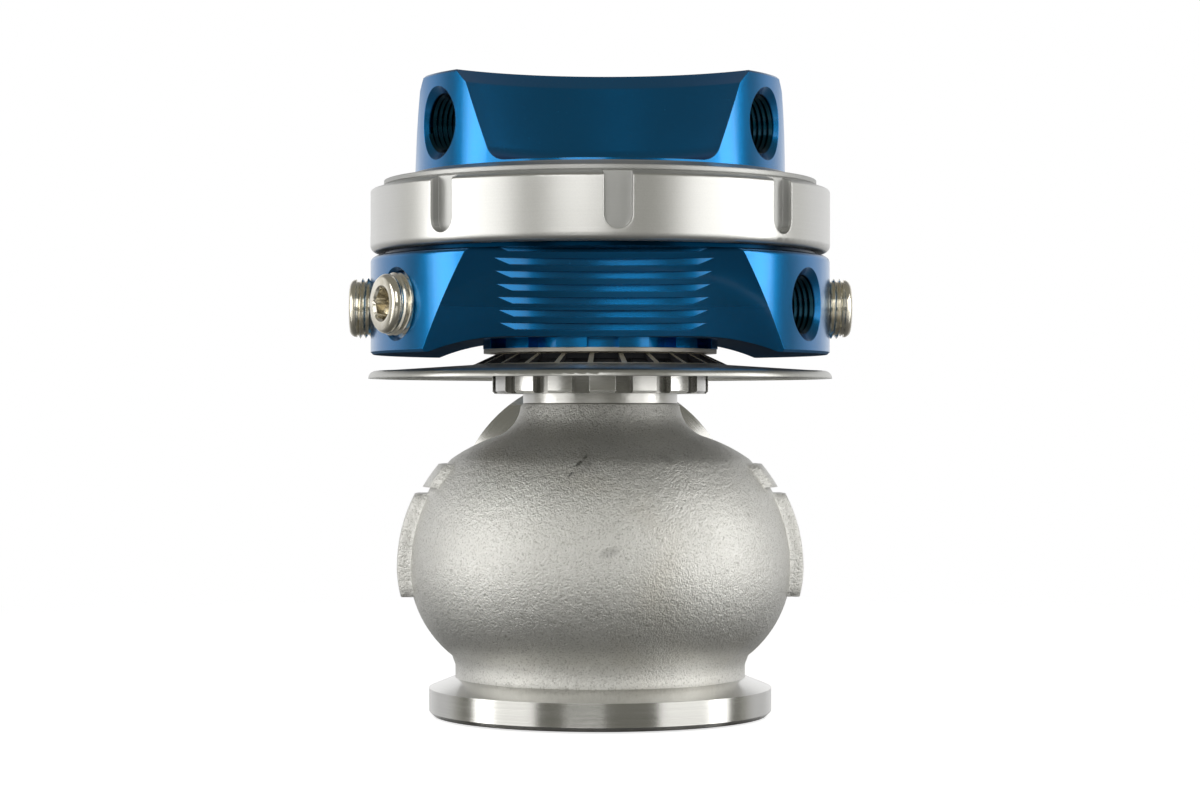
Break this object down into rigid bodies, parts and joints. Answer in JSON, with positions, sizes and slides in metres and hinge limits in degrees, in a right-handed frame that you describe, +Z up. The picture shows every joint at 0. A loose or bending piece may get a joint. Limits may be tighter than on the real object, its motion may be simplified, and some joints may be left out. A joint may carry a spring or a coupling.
{
  "type": "turbo wastegate",
  "caption": "External poppet wastegate with a V-band inlet below, a V-band outlet at the back, a diaphragm actuator, locking collar and lobed cap.",
  "frame": {"origin": "centre of the inlet flange's lower face, on the valve axis", "axes": "+Z up along the valve axis towards the cap, +Y towards the outlet flange, +X to the right when the outlet points away"},
  "size_m": [0.0849, 0.0868, 0.107],
  "materials": {
    "cast_steel": "cast",
    "machined_steel": "polished",
    "shield_steel": "satin",
    "blue_anodised": "anodised",
    "silver_anodised": "satin",
    "plug_nickel": "nickel plated",
    "spring_steel": "satin",
    "bronze": "machined",
    "plain_aluminium": "machined",
    "rubber": "matt",
    "seal_plastic": "matt"
  },
  "bodies": {
    "root": {"valve_body": "cast_steel", "valve_seat": "machined_steel", "valve_guide": "bronze", "retaining_ring": "spring_steel", "neck_gasket": "machined_steel", "heat_shield": "shield_steel", "shield_washer": "machined_steel"},
    "nut": {"lock_nut": "machined_steel"},
    "actuator": {"actuator_body": "blue_anodised", "stem_seal": "seal_plastic", "seal_clip": "spring_steel", "blanking_plugs": "plug_nickel"},
    "collar": {"locking_collar": "silver_anodised"},
    "cap": {"top_cap": "blue_anodised"},
    "valve": {"poppet_valve": "machined_steel", "piston": "plain_aluminium", "clamp_ring": "plain_aluminium", "diaphragm": "rubber", "stem_washer": "machined_steel", "stem_nut": "machined_steel", "outer_spring": "spring_steel", "inner_spring": "spring_steel"}
  },
  "joints": [
    {"name": "lock_nut_turn", "type": "hinge", "parent": "root", "child": "nut", "pos_m": [0, 0, 0.057], "axis": [0, 0, 1], "continuous": true},
    {"name": "actuator_clock", "type": "hinge", "parent": "root", "child": "actuator", "pos_m": [0, 0, 0.0618], "axis": [0, 0, 1], "continuous": true},
    {"name": "collar_turn", "type": "hinge", "parent": "actuator", "child": "collar", "pos_m": [0, 0, 0.084], "axis": [0, 0, 1], "continuous": true},
    {"name": "cap_clock", "type": "hinge", "parent": "actuator", "child": "cap", "pos_m": [0, 0, 0.09], "axis": [0, 0, 1], "continuous": true},
    {"name": "valve_lift", "type": "slide", "parent": "actuator", "child": "valve", "axis": [0, 0, 1], "range_m": [0, 0.008], "stiffness_N_per_m": 12600, "springref_m": -0.007, "deforming": ["outer_spring", "inner_spring", "diaphragm"]}
  ]
}
